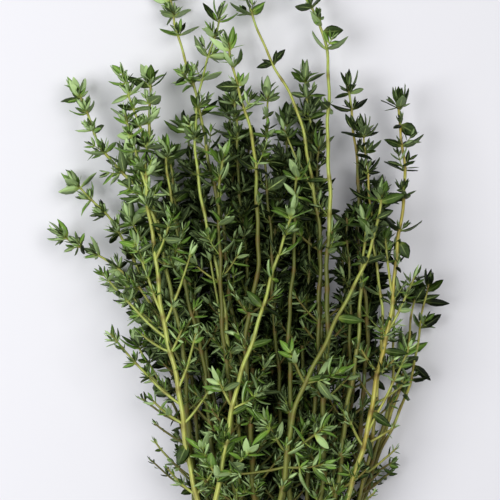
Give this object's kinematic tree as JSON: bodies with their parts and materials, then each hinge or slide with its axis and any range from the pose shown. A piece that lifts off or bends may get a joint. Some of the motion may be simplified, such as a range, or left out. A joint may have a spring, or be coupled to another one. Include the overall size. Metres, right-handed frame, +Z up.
{
  "type": "thyme bundle",
  "caption": "Loose bundle of fresh thyme sprigs lying flat: thin square stems, close together at the cut ends, fan out into small paired leaves.",
  "frame": {"origin": "on the surface the bundle lies on, on the underside of the straight sprig near the middle of its bottom layer", "axes": "+Y from the cut ends to the tips, +X to the right seen from above with the tips away, +Z up"},
  "size_m": [0.1468, 0.2531, 0.0336],
  "materials": {
    "sprig": "fresh green leaves and stems, softly shining"
  },
  "bodies": {
    "root": {"sprig_01": "sprig", "sprig_02": "sprig", "sprig_03": "sprig", "sprig_04": "sprig", "sprig_05": "sprig", "sprig_06": "sprig", "sprig_07": "sprig", "sprig_08": "sprig", "sprig_09": "sprig", "sprig_10": "sprig", "sprig_11": "sprig", "sprig_12": "sprig", "sprig_13": "sprig", "sprig_14": "sprig", "sprig_15": "sprig", "sprig_16": "sprig", "sprig_17": "sprig", "sprig_18": "sprig", "sprig_19": "sprig", "sprig_20": "sprig", "sprig_21": "sprig", "sprig_22": "sprig", "sprig_23": "sprig", "sprig_24": "sprig", "sprig_25": "sprig", "sprig_26": "sprig", "sprig_27": "sprig", "sprig_28": "sprig", "sprig_29": "sprig", "sprig_30": "sprig", "sprig_31": "sprig", "sprig_32": "sprig", "sprig_33": "sprig", "sprig_34": "sprig", "sprig_35": "sprig", "sprig_36": "sprig", "sprig_37": "sprig", "sprig_38": "sprig", "sprig_39": "sprig", "sprig_40": "sprig", "sprig_41": "sprig", "sprig_42": "sprig", "sprig_43": "sprig", "sprig_44": "sprig", "sprig_45": "sprig"}
  },
  "joints": []
}
